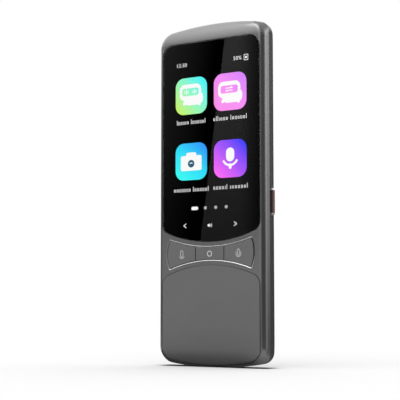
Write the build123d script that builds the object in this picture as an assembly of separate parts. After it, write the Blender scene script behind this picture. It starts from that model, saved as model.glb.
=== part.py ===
from build123d import *
import os
from functools import cache
from math import radians, sqrt, tan

# Handheld translator, standing on its lower end. Millimetres. X is to the right seen from the
# front, Y runs from the screen (-) to the back (+), Z is up. The origin is the middle of the
# flat land that it stands on, in the middle of the case's thickness.

# Case
width = 51.0
height = 141.8
depth = 10.4
wall = 1.2
corner_radius = 4.3  # at the parting plane
front_corner = 9.5  # the corners grow rounder towards the two faces
back_corner = 5.5
end_radius = 130.0  # arch of the two ends, seen from the front
land_depth = 0.35  # how deep the lower arch is cut flat
draft = 2.5  # lean of the side walls, in degrees, from the parting plane to each face
front_edge = 2.4
back_edge = 3.3
front_top_fall = (7.5, 2.2)  # height and depth over which the front face turns back at its top
front_foot_fall = (7.0, 0.8)
back_fall = (9.0, 2.0)  # at both ends
least_round = 0.1
face_slope = 0.6  # least share of its normal by which a face looks to the front or the back
front_plate = 1.8  # thickness of the front casing's face
parting_y = -0.9  # plane between the front casing and the rear housing
tongue_height = 0.55
tongue_gap = 0.06

# Cover glass and display
side_border = 2.1  # case side to glass edge
top_border = 7.5
glass_recess = 0.15
glass_thickness = 0.9
glass_gap = 0.15
glass_top_radius = 5.0
glass_foot_radius = 56.0
glass_foot_corner = 4.0
glass_edge_round = 0.2
gasket_thickness = 0.2
gasket_width = 0.9
gasket_inset = 0.1
ledge_width = 1.1
display_side = 1.7  # glass edge to display edge
display_top = 2.3
display_foot = 10.3
display_corner = 2.5
panel_layer = 0.9  # liquid crystal cell
light_layer = 0.8
light_inset = 0.3
layer_gap = 0.05

# Keys
keys_z = 45.9
key_middle_height = 6.0
key_top_radius = 60.0
key_foot_radius = 54.5
key_border = 5.85  # case side to the corners of the key cluster
key_side_bulge = 1.45
key_corner = 0.6
key_split = 6.8  # middle to each divider
key_divider = 0.2
bar_height = 1.8  # case face between the glass, the keys and the lower panel
key_proud = 0.35
key_gap = 0.15
key_round = 0.15
key_cap_depth = 1.6
key_flange = 0.35
key_flange_depth = 0.4
key_travel = 0.25
plunger_radius = 1.0
press_clearance = 0.1  # left behind a key or button that is pressed home
plunger_gap = key_travel + press_clearance
trim_width = 0.4
trim_proud = 0.25
trim_depth = 0.95
trim_round = 0.18
fit = 0.05
seal_thickness = 0.3
seal_overlap = 0.7
seal_hole_gap = 0.12
dome_radius = 2.2
dome_height = 0.25
key_board_thickness = 0.5
key_board_inset = 0.15  # how far the board is narrower than the keys, on each side
key_board_height = 10.0

# Lower panel
panel_side = 2.35  # case side to panel edge
panel_top_radius = 55.0
panel_corner = 4.5
panel_foot = 1.25
panel_proud = 0.15
panel_sink = 0.6
panel_gap = 0.25
panel_glue = 0.05

# Midframe and the screws that hold it
midframe_gap = 0.1  # display to midframe
midframe_thickness = 0.6
midframe_clearance = 0.25
midframe_foot = 20.5
top_boss = (8.5, 4.8)  # distance in from the side, and below the top of the case
low_boss = (5.4, 37.2)  # distance in from the side, and z
boss_radius = 1.5
small_shaft = 0.6
small_head = (1.2, 0.45)  # radius and height
thread_gap = 0.02
screw_grip = 1.0  # length of a small screw inside its boss
hole_spare = 0.1  # left past a screw's tip
standoff_radius = 1.6

# Case screws, under the lower panel
case_screw_side = 4.5  # case side to screw
case_screws_z = (33.5, 9.5)
case_shaft = 0.7
case_head = (1.2, 0.47)
case_screw_length = 6.0
case_boss_radius = 1.9
head_gap = 0.2
shaft_gap = 0.1

# Battery
battery_foot = 24.0
battery_side_gap = 0.7  # cell to the side switch's tab
battery_board_gap = 4.0
battery_thickness = 4.6
battery_round = 1.4
tape_thickness = 0.2
tape_end = 4.0  # cell's end to the tape's
tape_gap = 2.0  # tape to the flat cables beside it
foam_size = (26.0, 8.0)
foam_end = 12.0  # cell's end to the middle of a strip
lead_size = (6.0, 0.3)
lead_overlap = 5.0

# Main board
board_thickness = 0.8
board_side = 3.0  # case side to board edge
board_height = 47.5
board_top = 6.3  # distance below the top of the case
board_lift = 0.7  # midframe to board
board_corner = 2.0
board_screw_side = 2.2
board_screw_end = 3.2
can_height = 1.6
can_wall = 0.2
# Each lid: distance from the board's left and foot, width and height
cans = ((3.5, 9.0, 18.0, 19.0), (25.5, 9.0, 16.0, 15.0))
chip_height = 0.9
chip_border = 2.0
antenna_at = (5.5, 9.8)  # case side and top to the film's corner
antenna_size = (22.0, 14.0)
film = 0.15

# Camera and flash
camera_at = (12.5, 14.8)  # distance in from the right side, and below the top of the case
camera_side = 8.5
camera_height = 3.5
barrel_radius = 2.7
barrel_height = 0.9
window_radius = 3.0
window_thickness = 0.6
window_recess = 0.1
ring_neck = 4.1
ring_flange = 4.9
ring_flange_depth = 0.38
ring_depth = 0.9
flash_below_camera = 10.0
flash_head = (1.8, 0.6)
flash_stem = 1.2
flash_air = 0.9

# Charging socket and its board
usb_width = 8.94
usb_height = 3.16
usb_length = 7.3
usb_corner = 1.45
usb_wall = 0.3
usb_recess = 0.25
usb_gap = 0.13
usb_tongue_width = 6.7
usb_tongue_thickness = 0.7
usb_tongue_recess = 0.9
usb_base = 1.4
usb_board_side = 10.0  # case side to board edge
usb_board_foot = 2.6
usb_board_top = 19.0
usb_screw_at = (3.0, 14.5)  # distance in from the board's side, and z

# Speaker and microphones
speaker_size = (16.0, 9.2)
speaker_z = 14.2
speaker_depth = 2.8
mesh_thickness = 0.3
mesh_size = (15.0, 6.0)
rim_wall = 0.7
rim_gap = 0.15
rim_depth = 1.6
grille_hole = 0.5
grille_count = (6, 2)
grille_pitch = (2.2, 2.4)
mic_size = (3.8, 1.1, 3.0)
low_mic_side = 4.0  # microphone's middle to its board's edge
top_mic_side = 13.5
mic_hole = 0.45
mic_hole_y = 0.9
boot_gap = 0.22
boot_rim = 0.45  # rubber behind the sound duct
boot_width = 3.2
boot_depth = 1.2

# Side button
button_z = 66.25
button_length = 10.9
button_width = 1.6
button_y = 1.05
button_proud = 1.0
button_gap = 0.12
button_travel = 0.35
button_end_chamfer = 0.7
button_round = 0.35
button_flange = (0.6, 0.5)  # overhang along the case, and thickness
button_flange_gap = 0.35
button_stem = (3.0, 1.2, 0.9)  # length, width, reach
switch_size = (5.0, 2.4, 1.9)
switch_nub = (0.7, 0.5)
switch_gap = button_travel + press_clearance
tab_thickness = 0.5
tab_length = 9.0

# Flat cables
display_flex_width = 12.0
display_flex_reach = 4.0  # how far it comes down again behind the midframe
flex_slot_gap = 0.4
strip_side = 5.5  # cell's side to the middle of a flat cable under it
strip_width = 4.0
strip_overlap = 2.5

# Levels through the thickness
front_y = -depth / 2
back_y = depth / 2
glass_y = front_y + glass_recess
glass_back_y = glass_y + glass_thickness
gasket_back_y = glass_back_y + gasket_thickness
plate_back_y = front_y + front_plate
display_back_y = glass_back_y + panel_layer
light_y = display_back_y + layer_gap
light_back_y = light_y + light_layer
midframe_y = light_back_y + midframe_gap
midframe_back_y = midframe_y + midframe_thickness
board_y = midframe_back_y + board_lift
board_back_y = board_y + board_thickness
rear_inner_y = back_y - wall
battery_y = midframe_back_y + tape_thickness
battery_back_y = battery_y + battery_thickness
key_board_y = midframe_y - key_board_thickness
dome_y = key_board_y - dome_height
key_front_y = front_y - key_proud
key_back_y = key_front_y + key_cap_depth
trim_y = front_y - trim_proud
usb_board_back_y = -usb_height / 2
usb_board_y = usb_board_back_y - board_thickness
mesh_y = rear_inner_y - mesh_thickness
speaker_y = mesh_y - speaker_depth
case_seat_y = front_y + panel_sink + panel_glue + case_head[1] + fit
case_hole_y = case_seat_y + case_screw_length + fit
boot_back_y = mic_hole_y + mic_hole + boot_rim
small_hole_depth = screw_grip + hole_spare

# Levels up the case
glass_top_z = height - top_border
glass_foot_z = keys_z + key_middle_height / 2 + bar_height
panel_top_z = keys_z - key_middle_height / 2 - bar_height
display_top_z = glass_top_z - display_top
display_foot_z = glass_foot_z + display_foot
board_top_z = height - board_top
camera_z = height - camera_at[1]
flash_z = camera_z - flash_below_camera
usb_top_z = usb_recess + usb_length
board_foot = board_top_z - board_height
battery_top_z = board_foot - battery_board_gap
display_flex_z = display_top_z + film + flex_slot_gap
key_flex_foot_z = keys_z + key_board_height / 2
key_flex_z = key_flex_foot_z + film + flex_slot_gap
beyond = 2 * height  # reach of a cutting slab

# Places across the width
side_x = width / 2
board_half = side_x - board_side
camera_x = side_x - camera_at[0]
key_half_width = side_x - key_border
key_board_half = key_half_width - key_board_inset
plunger_x = (key_split + key_half_width) / 2
flange_x = side_x - wall - button_flange_gap
stem_x = flange_x - button_flange[1] - button_stem[2]
switch_back_x = stem_x - switch_gap - switch_nub[1] - switch_size[2]
tab_x = switch_back_x - tab_thickness
battery_half_width = tab_x - battery_side_gap
strip_x = battery_half_width - strip_side
tape_half_width = strip_x - strip_width / 2 - tape_gap
usb_board_half = side_x - usb_board_side
low_mic_x = usb_board_half - low_mic_side
top_mic_x = top_mic_side - board_half


# Signs of Y
to_front = -1
to_back = 1


def along_y(sketch, y_from, y_to):
    """A sketch drawn as the front sees it, given its thickness from y_from back to y_to."""
    plane = Plane(origin=(0, y_to, 0), x_dir=(1, 0, 0), z_dir=(0, -1, 0))
    return extrude(plane * sketch, amount=y_to - y_from)


def along_x(sketch, x_from, x_to):
    """A sketch drawn as the right side sees it, given its width from x_from to x_to."""
    plane = Plane(origin=(x_from, 0, 0), x_dir=(0, 1, 0), z_dir=(1, 0, 0))
    return extrude(plane * sketch, amount=x_to - x_from)


def along_z(sketch, z_from, z_to):
    """A sketch drawn as the top sees it, given its height from z_from to z_to."""
    return extrude(Pos(0, 0, z_from) * sketch, amount=z_to - z_from)


def block(x, y, z):
    """A box from three (low, high) pairs."""
    size = (x[1] - x[0], y[1] - y[0], z[1] - z[0])
    return Pos((x[0] + x[1]) / 2, (y[0] + y[1]) / 2, (z[0] + z[1]) / 2) * Box(*size)


def disc(x, z, radius, y_from, y_to):
    """A cylinder whose axis runs from front to back."""
    return along_y(Pos(x, z) * Circle(radius), y_from, y_to)


def around(middle, size):
    """The (low, high) pair of a length centred on a place."""
    return (middle - size / 2, middle + size / 2)


def sagitta(radius, half_chord):
    """Height of an arc over its chord."""
    return radius - sqrt(radius**2 - half_chord**2)


def rounding(radius, inset):
    """The radius that a rounded corner keeps inside its wall."""
    return max(radius - inset, least_round)


def outline(inset=0.0, corner=corner_radius):
    """The case seen from the front, drawn in by an inset."""
    half = side_x - inset
    low = inset - land_depth
    high = height - inset
    rise = sagitta(end_radius - inset, half)
    face = make_face(
        [
            ThreePointArc((-half, low + rise), (0, low), (half, low + rise)),
            Line((half, low + rise), (half, high - rise)),
            ThreePointArc((half, high - rise), (0, high), (-half, high - rise)),
            Line((-half, high - rise), (-half, low + rise)),
        ]
    )
    return fillet(face.vertices(), rounding(corner, inset))


def turned_in(turn, inset, down):
    """How far a face lies in, a given way past the level where it starts to turn back."""
    turn_height, turn_depth = turn
    radius = (turn_height**2 + turn_depth**2) / (2 * turn_depth)
    return radius - sqrt((radius - inset) ** 2 - down**2)


def turn_arc(face_y, inward, turn, inset, level, end):
    """The arc by which the front or back face turns back, from its level to the case's end."""
    places = []
    for share in (0.0, 0.5, 1.0):
        z = level + share * (end - level)
        places.append((face_y + inward * turned_in(turn, inset, abs(z - level)), z))
    return ThreePointArc(*places)


def profile(inset=0.0):
    """The case seen from its right side, drawn in by an inset."""
    low = inset - land_depth
    high = height - inset
    arcs = []
    for face_y, inward, foot_turn, top_turn in (
        (front_y, to_back, front_foot_fall, front_top_fall),
        (back_y, to_front, back_fall, back_fall),
    ):
        arcs.append(turn_arc(face_y, inward, foot_turn, inset, foot_turn[0], low))
        arcs.append(turn_arc(face_y, inward, top_turn, inset, height - top_turn[0], high))
    front_low, front_high, back_low, back_high = arcs
    return make_face(
        arcs
        + [
            Line(front_low @ 0, front_high @ 0),
            Line(back_low @ 0, back_high @ 0),
            Line(front_low @ 1, back_low @ 1),
            Line(front_high @ 1, back_high @ 1),
        ]
    )


def rim(body, side):
    """The edges round the faces that look to the front or to the back."""
    shown = [face for face in body.faces() if face.normal_at().Y * side > face_slope]
    edges = [edge for face in shown for edge in face.edges()]
    return [edge for edge in edges if sum(edge.is_same(other) for other in edges) == 1]


@cache
def half_case(side, inset=0.0):
    """The case from the parting plane to its front or its back, drawn in by an inset.

    The walls lean in from the parting plane, the ends turn back, and the rim is rounded.
    """
    far_corner, far_edge = (back_corner, back_edge) if side > 0 else (front_corner, front_edge)
    reach = depth / 2 - inset - side * parting_y
    lean = reach * tan(radians(draft))
    sections = []
    for y, extra, corner in (
        (parting_y, 0.0, corner_radius),
        (parting_y + side * reach, lean, far_corner),
    ):
        plane = Plane(origin=(0, y, 0), x_dir=(-side, 0, 0), z_dir=(0, side, 0))
        sections.append(plane * outline(inset + extra, corner))
    body = loft(sections, ruled=True) & along_x(profile(inset), -width, width)
    body = fillet(rim(body, side), rounding(far_edge, inset))
    return body & block((-width, width), (-depth, depth), (0, beyond))


def between(y_from, y_to):
    """Everything between two planes across the thickness."""
    return block((-width, width), (y_from, y_to), (-height, beyond))


def glass_face(inset=0.0):
    """The cover glass seen from the front: straight top, arched foot."""
    half = side_x - side_border - inset
    top = glass_top_z - inset
    low = glass_foot_z + inset
    rise = sagitta(glass_foot_radius - inset, half)
    face = make_face(
        [
            ThreePointArc((-half, low + rise), (0, low), (half, low + rise)),
            Line((half, low + rise), (half, top)),
            Line((half, top), (-half, top)),
            Line((-half, top), (-half, low + rise)),
        ]
    )
    face = fillet(face.vertices().sort_by(Axis.Y)[-2:], rounding(glass_top_radius, inset))
    return fillet(face.vertices().sort_by(Axis.Y)[:2], rounding(glass_foot_corner, inset))


def key_face(inset=0.0):
    """The key cluster seen from the front: a bow tie with bulging ends."""
    top = keys_z + key_middle_height / 2
    low = keys_z - key_middle_height / 2
    top_end = top + sagitta(key_top_radius, key_half_width)
    low_end = low - sagitta(key_foot_radius, key_half_width)
    side = key_half_width + key_side_bulge
    face = make_face(
        [
            ThreePointArc((-key_half_width, top_end), (0, top), (key_half_width, top_end)),
            ThreePointArc((key_half_width, top_end), (side, keys_z), (key_half_width, low_end)),
            ThreePointArc((key_half_width, low_end), (0, low), (-key_half_width, low_end)),
            ThreePointArc((-key_half_width, low_end), (-side, keys_z), (-key_half_width, top_end)),
        ]
    )
    face = fillet(face.vertices(), key_corner)
    return offset(face, amount=-inset) if inset else face


def panel_face(inset=0.0):
    """The lower panel seen from the front: arched top, straight sides, the case's own foot."""
    half = side_x - panel_side - inset
    top = panel_top_z - inset
    shoulder = top - sagitta(panel_top_radius - inset, half)
    face = make_face(
        [
            ThreePointArc((-half, shoulder), (0, top), (half, shoulder)),
            Line((half, shoulder), (half, -corner_radius)),
            Line((half, -corner_radius), (-half, -corner_radius)),
            Line((-half, -corner_radius), (-half, shoulder)),
        ]
    )
    face = fillet(face.vertices().sort_by(Axis.Y)[-2:], panel_corner - inset)
    return face & outline(panel_foot + inset, front_corner)


def usb_face(grow=0.0):
    """The charging socket's mouth seen from below, made larger by grow."""
    size = (usb_width + 2 * grow, usb_height + 2 * grow)
    return RectangleRounded(*size, usb_corner + grow)


def mirrored(places):
    """Each (x, z) place and its mirror image across the middle."""
    return [(sign * x, z) for x, z in places for sign in (-1, 1)]


midframe_screws_at = mirrored(
    [(side_x - top_boss[0], height - top_boss[1]), (side_x - low_boss[0], low_boss[1])]
)
board_screws_at = mirrored(
    [
        (board_half - board_screw_side, board_foot + board_screw_end),
        (board_half - board_screw_side, board_top_z - board_screw_end),
    ]
)
usb_screws_at = mirrored([(usb_board_half - usb_screw_at[0], usb_screw_at[1])])
case_bosses_at = mirrored([(side_x - case_screw_side, z) for z in case_screws_z])


def screw(x, z, seat_y, shaft, head, length, inward):
    """A pan head on its seat and a shaft that runs inward from it, to the front or to the back."""
    radius, thick = head
    ends = sorted((seat_y, seat_y - inward * thick))
    run = sorted((seat_y, seat_y + inward * length))
    return disc(x, z, radius, *ends) + disc(x, z, shaft, *run)


def button_bay(clearance):
    """The space that the side button takes in the wall, where the casings have no tongue."""
    z = around(button_z, button_length + 2 * (button_flange[0] + clearance))
    return block((0, width), (-depth, depth), z)


def front_frame():
    """Front casing: a plate with side walls, the glass seat, key opening and panel recess."""
    frame = half_case(to_front) - (half_case(to_front, wall) & between(plate_back_y, depth))
    tongue = half_case(to_back, wall / 2 + tongue_gap) - half_case(to_back, wall)
    tongue = tongue & between(parting_y, parting_y + tongue_height)
    frame = frame + (tongue - button_bay(2 * tongue_gap))
    frame = frame - along_y(glass_face(-glass_gap), -depth, gasket_back_y)
    frame = frame - along_y(glass_face(ledge_width), -depth, 0)
    frame = frame - along_y(key_face(-fit), -depth, 0)
    recess = half_case(to_front, -panel_sink) - half_case(to_front, panel_sink + panel_glue)
    frame = frame - (recess & along_y(panel_face(-panel_gap), -depth, 0))
    for x, z in midframe_screws_at:
        frame = frame + disc(x, z, boss_radius, plate_back_y, midframe_y)
        frame = frame - disc(x, z, small_shaft + thread_gap, midframe_y - small_hole_depth, 0)
    for x, z in usb_screws_at:
        frame = frame + disc(x, z, boss_radius, plate_back_y, usb_board_y)
        frame = frame - disc(x, z, small_shaft + thread_gap, usb_board_y - small_hole_depth, 0)
    for x, z in case_bosses_at:
        frame = frame - disc(x, z, case_head[0] + head_gap, -depth, case_seat_y)
        frame = frame - disc(x, z, case_shaft + shaft_gap, -depth, 0)
    return frame - along_z(usb_face(usb_gap), -height, usb_top_z)


def rear_housing():
    """Back shell: back and side walls, screw bosses, speaker rim and the holes through it."""
    shell = half_case(to_back) - half_case(to_back, wall)
    groove = half_case(to_back, wall / 2) & between(parting_y, parting_y + tongue_height + tongue_gap)
    shell = shell - (groove - button_bay(tongue_gap))
    root_y = rear_inner_y + wall / 4
    for x, z in case_bosses_at:
        shell = shell + disc(x, z, case_boss_radius, midframe_back_y + midframe_gap, root_y)
        shell = shell - disc(x, z, case_shaft + thread_gap, -depth, case_hole_y)
    rim = [around(0, speaker_size[0] + 2 * (rim_gap + more)) for more in (0, rim_wall)]
    rim_z = [around(speaker_z, speaker_size[1] + 2 * (rim_gap + more)) for more in (0, rim_wall)]
    collar = block(rim[1], (rear_inner_y - rim_depth, root_y), rim_z[1])
    shell = shell + (collar - block(rim[0], (0, rear_inner_y), rim_z[0]))
    for hole in GridLocations(*grille_pitch, *grille_count):
        x, z = hole.position.X, speaker_z + hole.position.Y
        shell = shell - disc(x, z, grille_hole, 0, depth)
    for z, radius, y in (
        (camera_z, ring_neck, 0),
        (camera_z, ring_flange, back_y - ring_flange_depth - fit),
        (flash_z, flash_stem, 0),
        (flash_z, flash_head[0], back_y - flash_head[1] - fit),
    ):
        shell = shell - disc(camera_x, z, radius + fit, y, depth)
    for x, z in ((low_mic_x, (-height, height / 2)), (top_mic_x, (height / 2, beyond))):
        shell = shell - along_z(Pos(x, mic_hole_y) * Circle(mic_hole), *z)
    slot_y = around(button_y, button_width + 2 * button_gap)
    slot_z = around(button_z, button_length + 2 * button_gap)
    shell = shell - block((flange_x, width), slot_y, slot_z)
    return shell - along_z(usb_face(usb_gap), -height, usb_top_z)


def cover_glass():
    """Flat glass with a softened front edge."""
    glass = along_y(glass_face(), glass_y, glass_back_y)
    front = glass.faces().sort_by(Axis.Y)[0]
    return fillet(front.edges(), glass_edge_round)


def glass_gasket():
    """Bonding ring between the glass and its ledge."""
    ring = glass_face(gasket_inset) - glass_face(gasket_inset + gasket_width)
    return along_y(ring, glass_back_y, gasket_back_y)


def display_layer(inset, y_from, y_to):
    """One flat layer of the display, behind the glass."""
    wide = 2 * (side_x - side_border - display_side - inset)
    tall = display_top_z - display_foot_z - 2 * inset
    face = RectangleRounded(wide, tall, display_corner - inset)
    return along_y(Pos(0, (display_foot_z + display_top_z) / 2) * face, y_from, y_to)


def lower_panel():
    """Inlaid lower panel that follows the case's front face as it turns back at the foot."""
    skin = half_case(to_front, -panel_proud) - half_case(to_front, panel_sink)
    return skin & along_y(panel_face(), -depth, 0)


def key_trim():
    """Thin bright ring round the keys."""
    ring = key_face() - key_face(trim_width)
    trim = along_y(ring, trim_y, trim_y + trim_depth)
    front = trim.faces().sort_by(Axis.Y)[0]
    return fillet(front.edges(), trim_round)


def key(x_from, x_to, plunger_at):
    """One key: a cap with a rounded front edge, a flange behind the trim, and a plunger."""
    span = Pos((x_from + x_to) / 2, keys_z) * Rectangle(x_to - x_from, height)
    cap = along_y(key_face(trim_width + key_gap) & span, key_front_y, key_back_y)
    front = cap.faces().sort_by(Axis.Y)[0]
    cap = fillet(front.edges(), key_round)
    flange_from = key_back_y - key_flange_depth
    flange = along_y(key_face(trim_width + key_gap - key_flange) & span, flange_from, key_back_y)
    return cap + flange + disc(plunger_at, keys_z, plunger_radius, key_back_y, dome_y - plunger_gap)


def keys():
    """The three keys, left to right, as (name, solid)."""
    edge = key_half_width + key_side_bulge
    half_gap = key_divider / 2
    return [
        ("left_key", key(-edge, -key_split - half_gap, -plunger_x)),
        ("centre_key", key(-key_split + half_gap, key_split - half_gap, 0)),
        ("right_key", key(key_split + half_gap, edge, plunger_x)),
    ]


def key_seal():
    """Thin rubber sheet behind the keys, with a hole for each plunger."""
    sheet = along_y(key_face(-seal_overlap), plate_back_y, plate_back_y + seal_thickness)
    for x in (-plunger_x, 0, plunger_x):
        sheet = sheet - disc(x, keys_z, plunger_radius + seal_hole_gap, -depth, 0)
    return sheet


def dome_switches():
    """Three snap domes on the key board."""
    return Compound(
        [disc(x, keys_z, dome_radius, dome_y, key_board_y) for x in (-plunger_x, 0, plunger_x)]
    )


def key_board():
    """Flat board under the keys."""
    x = (-key_board_half, key_board_half)
    return block(x, (key_board_y, midframe_y), around(keys_z, key_board_height))


def midframe():
    """Stiff plate behind the display, with standoffs for the board and a tab for the switch."""
    plate = half_case(to_front, wall + midframe_clearance) & between(midframe_y, midframe_back_y)
    plate = plate & block((-width, width), (-depth, depth), (midframe_foot, height))
    for x, z in board_screws_at:
        plate = plate + disc(x, z, standoff_radius, midframe_back_y, board_y)
        plate = plate - disc(x, z, small_shaft + thread_gap, board_y - small_hole_depth, 0)
    for x, z in midframe_screws_at:
        plate = plate - disc(x, z, small_shaft + shaft_gap, -depth, 0)
    for x, z in case_bosses_at:
        plate = plate - disc(x, z, case_shaft + 2 * shaft_gap, -depth, 0)
    tab_y = (midframe_back_y, button_y + switch_size[1] / 2)
    plate = plate + block((tab_x, switch_back_x), tab_y, around(button_z, tab_length))
    for x, wide, z in (
        (0, display_flex_width, display_flex_z),
        (-strip_x, strip_width, key_flex_z),
    ):
        slot_x = around(x, wide + 2 * flex_slot_gap)
        slot_z = (z - flex_slot_gap, z + film + flex_slot_gap)
        plate = plate - block(slot_x, (-depth, 0), slot_z)
    return plate


def screws(places, seat_y, clamped):
    """A group of identical small screws, driven in from behind through a clamped thickness."""
    length = clamped + screw_grip
    return Compound([screw(x, z, seat_y, small_shaft, small_head, length, to_front) for x, z in places])


def case_screws():
    """The four screws that close the case, under the lower panel."""
    return Compound(
        [
            screw(x, z, case_seat_y, case_shaft, case_head, case_screw_length, to_back)
            for x, z in case_bosses_at
        ]
    )


def battery():
    """Pouch cell with soft edges."""
    cell = block(
        (-battery_half_width, battery_half_width),
        (battery_y, battery_back_y),
        (battery_foot, battery_top_z),
    )
    return fillet(cell.edges().filter_by(Axis.Z), battery_round)


def battery_tape():
    """Adhesive sheet between the midframe and the cell."""
    x = (-tape_half_width, tape_half_width)
    z = (battery_foot + tape_end, battery_top_z - tape_end)
    return block(x, (midframe_back_y, battery_y), z)


def battery_foam():
    """Two foam strips between the cell and the back."""
    return Compound(
        [
            block(around(0, foam_size[0]), (battery_back_y, rear_inner_y), around(z, foam_size[1]))
            for z in (battery_foot + foam_end, battery_top_z - foam_end)
        ]
    )


def battery_lead():
    """Short flat lead from the cell to the main board."""
    return block(
        around(0, lead_size[0]),
        (board_back_y, board_back_y + lead_size[1]),
        (battery_top_z, board_foot + lead_overlap),
    )


def main_board():
    """Circuit board behind the midframe, screwed to its standoffs."""
    board = along_y(
        Pos(0, (board_foot + board_top_z) / 2)
        * RectangleRounded(2 * board_half, board_top_z - board_foot, board_corner),
        board_y,
        board_back_y,
    )
    for x, z in board_screws_at:
        board = board - disc(x, z, small_shaft + shaft_gap, -depth, depth)
    return board


def on_board(can, border, tall):
    """A block on the board in the place of a lid, smaller by a border."""
    left, foot, wide, high = can
    x = (left - board_half + border, left - board_half + wide - border)
    z = (board_foot + foot + border, board_foot + foot + high - border)
    return block(x, (board_back_y, board_back_y + tall), z)


def shield_cans():
    """Two folded metal lids over the chips."""
    return Compound(
        [on_board(can, 0, can_height) - on_board(can, can_wall, can_height - can_wall) for can in cans]
    )


def chips():
    """The processor and the memory under their lids."""
    return Compound([on_board(can, chip_border, chip_height) for can in cans])


def antenna():
    """Aerial film on the inside of the back."""
    left = antenna_at[0] - side_x
    top = height - antenna_at[1]
    wide, tall = antenna_size
    return block((left, left + wide), (rear_inner_y - film, rear_inner_y), (top - tall, top))


def camera_module():
    """Camera block on the main board, with its barrel towards the window."""
    top = board_back_y + camera_height
    body = block(around(camera_x, camera_side), (board_back_y, top), around(camera_z, camera_side))
    return body + disc(camera_x, camera_z, barrel_radius, top, top + barrel_height)


def camera_window():
    """Clear disc inside the camera ring."""
    outer = back_y - window_recess
    return disc(camera_x, camera_z, window_radius, outer - window_thickness, outer)


def camera_ring():
    """Metal ring round the camera window, flush with the back."""
    ring = disc(camera_x, camera_z, ring_neck, back_y - ring_depth, back_y)
    ring = ring + disc(camera_x, camera_z, ring_flange, back_y - ring_flange_depth, back_y)
    return ring - disc(camera_x, camera_z, window_radius + fit, -depth, depth)


def flash_lens():
    """Light guide of the flash, flush with the back."""
    radius, thick = flash_head
    head = disc(camera_x, flash_z, radius, back_y - thick, back_y)
    return head + disc(camera_x, flash_z, flash_stem, board_back_y + flash_air, back_y - thick)


def usb_shell():
    """Metal sleeve of the charging socket."""
    return along_z(usb_face() - usb_face(-usb_wall), usb_recess, usb_top_z)


def usb_tongue():
    """Contact tongue and the insert that closes the sleeve."""
    base = along_z(usb_face(-usb_wall - fit), usb_top_z - usb_base, usb_top_z)
    tongue = Rectangle(usb_tongue_width, usb_tongue_thickness)
    return base + along_z(tongue, usb_recess + usb_tongue_recess, usb_top_z)


def usb_board():
    """Small board that carries the socket and the lower microphone."""
    board = block(
        (-usb_board_half, usb_board_half), (usb_board_y, usb_board_back_y), (usb_board_foot, usb_board_top)
    )
    for x, z in usb_screws_at:
        board = board - disc(x, z, small_shaft + shaft_gap, -depth, 0)
    return board


def speaker():
    """Speaker box in its rim."""
    return block(around(0, speaker_size[0]), (speaker_y, mesh_y), around(speaker_z, speaker_size[1]))


def speaker_mesh():
    """Woven dust mesh behind the grille."""
    return block(around(0, mesh_size[0]), (mesh_y, rear_inner_y), around(speaker_z, mesh_size[1]))


def microphones():
    """The lower and the upper microphone, each on its board."""
    wide, thick, tall = mic_size
    low_z = low_boot_z()[1]
    top_z = top_boot_z()[0]
    cells = []
    for x, y, z in (
        (low_mic_x, usb_board_back_y, (low_z, low_z + tall)),
        (top_mic_x, board_back_y, (top_z - tall, top_z)),
    ):
        cells.append(block(around(x, wide), (y, y + thick), z))
    return Compound(cells)


def low_boot_z():
    """Where the lower sound duct starts and ends."""
    start = wall - land_depth + sagitta(end_radius - wall, low_mic_x + boot_width / 2) + boot_gap
    return (start, start + boot_depth)


def top_boot_z():
    """Where the upper sound duct starts and ends."""
    reach = abs(top_mic_x) + boot_width / 2
    return (board_top_z - boot_gap, height - wall - sagitta(end_radius - wall, reach) - boot_gap)


def mic_boots():
    """Rubber sound ducts from the case's holes to the microphones."""
    boots = []
    for x, y, z in (
        (low_mic_x, (usb_board_back_y, boot_back_y), low_boot_z()),
        (top_mic_x, (board_back_y, boot_back_y), top_boot_z()),
    ):
        duct = along_z(Pos(x, mic_hole_y) * Circle(mic_hole), -height, beyond)
        boots.append(block(around(x, boot_width), y, z) - duct)
    return Compound(boots)


def side_button():
    """Side button: a bar with cut ends, a flange inside the wall, and a stem to its switch."""
    bar = block(
        (flange_x, side_x + button_proud),
        around(button_y, button_width),
        around(button_z, button_length),
    )
    outer = bar.faces().sort_by(Axis.X)[-1]
    bar = chamfer(outer.edges().filter_by(Axis.Y), button_end_chamfer)
    outer = bar.faces().sort_by(Axis.X)[-1]
    bar = fillet(outer.edges().filter_by(Axis.Z), button_round)
    overhang, thick = button_flange
    flange = block(
        (flange_x - thick, flange_x),
        around(button_y, button_width + overhang),
        around(button_z, button_length + 2 * overhang),
    )
    length, wide, _ = button_stem
    stem = block((stem_x, flange_x - thick), around(button_y, wide), around(button_z, length))
    return bar + flange + stem


def side_switch():
    """Push switch on the midframe's tab, facing the button's stem."""
    length, wide, thick = switch_size
    radius, reach = switch_nub
    body_x = switch_back_x + thick
    body = block((switch_back_x, body_x), around(button_y, wide), around(button_z, length))
    plane = Plane(origin=(body_x, button_y, button_z), x_dir=(0, 1, 0), z_dir=(1, 0, 0))
    return body + extrude(plane * Circle(radius), amount=reach)


def ribbon(route, x_middle, wide):
    """A flat cable along a route of (y, z) corners with square bends."""
    parts = []
    for (y0, z0), (y1, z1) in zip(route, route[1:]):
        y = (min(y0, y1), max(y0, y1) + film)
        z = (min(z0, z1), max(z0, z1) + film)
        parts.append(block(around(x_middle, wide), y, z))
    whole = parts[0]
    for part in parts[1:]:
        whole = whole + part
    return whole


def display_flex():
    """Flat cable from the display's top, through the midframe, to the main board."""
    front = display_back_y - panel_layer / 2
    behind = midframe_back_y + flex_slot_gap / 2
    route = [
        (front, display_top_z),
        (front, display_flex_z),
        (behind, display_flex_z),
        (behind, display_top_z - display_flex_reach),
    ]
    return ribbon(route, 0, display_flex_width)


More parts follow.
